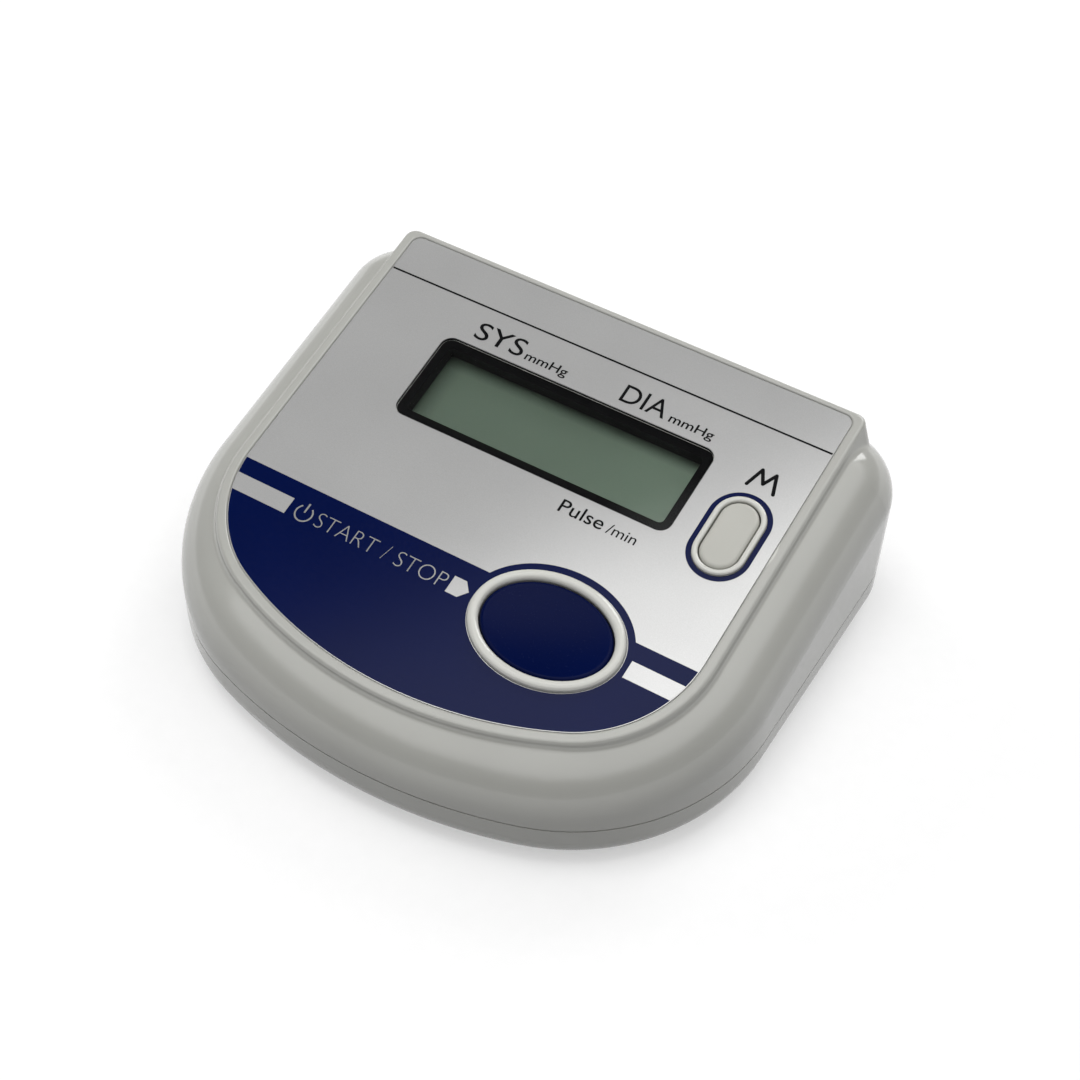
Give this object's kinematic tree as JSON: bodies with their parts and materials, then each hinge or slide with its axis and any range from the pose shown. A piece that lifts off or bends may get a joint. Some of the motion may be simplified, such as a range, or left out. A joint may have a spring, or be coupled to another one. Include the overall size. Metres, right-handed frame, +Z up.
{
  "type": "blood pressure monitor",
  "caption": "D-shaped desk-top blood pressure monitor: a sloping raised panel with a recessed display, an oval start button, a small memory button and a side air socket.",
  "frame": {"origin": "on the surface that the feet stand on, under the middle of the case", "axes": "+Z up, +X to the right of someone reading the display, front faces -Y"},
  "size_m": [0.1138, 0.097, 0.0411],
  "materials": {
    "case_plastic": "satin gloss",
    "label_film": "silver satin print",
    "clear_window": "clear",
    "black_plastic": "fine matt",
    "lcd_glass": "polarised",
    "foam": "foam",
    "dark_rubber": "matt",
    "board_laminate": "solder mask",
    "screw_steel": "plated",
    "navy_plastic": "gloss",
    "grey_plastic": "satin",
    "white_plastic": "satin",
    "motor_steel": "plated",
    "tube_silicone": "soft",
    "cell_jacket": "printed jacket",
    "contact_nickel": "nickel plated"
  },
  "bodies": {
    "housing": {"upper_case": "case_plastic", "lower_case": "case_plastic", "front_label": "label_film", "display_window": "clear_window", "display_frame": "black_plastic", "lcd_front_glass": "lcd_glass", "lcd_rear_glass": "lcd_glass", "lcd_backing_pad": "foam", "lcd_connector_strip": "dark_rubber", "main_board": "board_laminate", "board_screws": "screw_steel", "start_switch_body": "black_plastic", "memory_switch_body": "black_plastic", "controller_chip": "black_plastic", "buzzer": "black_plastic", "pressure_sensor": "white_plastic", "pump_motor": "motor_steel", "pump_head": "white_plastic", "pump_sleeve": "foam", "release_valve": "motor_steel", "air_manifold": "white_plastic", "air_socket": "black_plastic", "pump_tube": "tube_silicone", "socket_tube": "tube_silicone", "sensor_tube": "tube_silicone", "battery_cell_1": "cell_jacket", "battery_cell_2": "cell_jacket", "battery_cell_3": "cell_jacket", "battery_cell_4": "cell_jacket", "battery_springs": "contact_nickel", "rear_contact_plates": "contact_nickel", "front_contact_plates": "contact_nickel", "case_screws": "screw_steel", "rubber_feet": "dark_rubber"},
    "start_key": {"start_button": "navy_plastic", "start_switch_plunger": "black_plastic"},
    "memory_key": {"memory_button": "grey_plastic", "memory_switch_plunger": "black_plastic"},
    "cover": {"battery_cover": "case_plastic"}
  },
  "joints": [
    {"name": "start_press", "type": "slide", "parent": "housing", "child": "start_key", "axis": [0, 0.2147, -0.9767], "range_m": [0, 0.0005], "stiffness_N_per_m": 2000, "springref_m": -0.0003},
    {"name": "memory_press", "type": "slide", "parent": "housing", "child": "memory_key", "axis": [0, 0.2147, -0.9767], "range_m": [0, 0.0005], "stiffness_N_per_m": 2000, "springref_m": -0.0003},
    {"name": "cover_hinge", "type": "hinge", "parent": "housing", "child": "cover", "pos_m": [0, 0.0415, 0.0016], "axis": [1, 0, 0], "range_deg": [0, 90]}
  ]
}
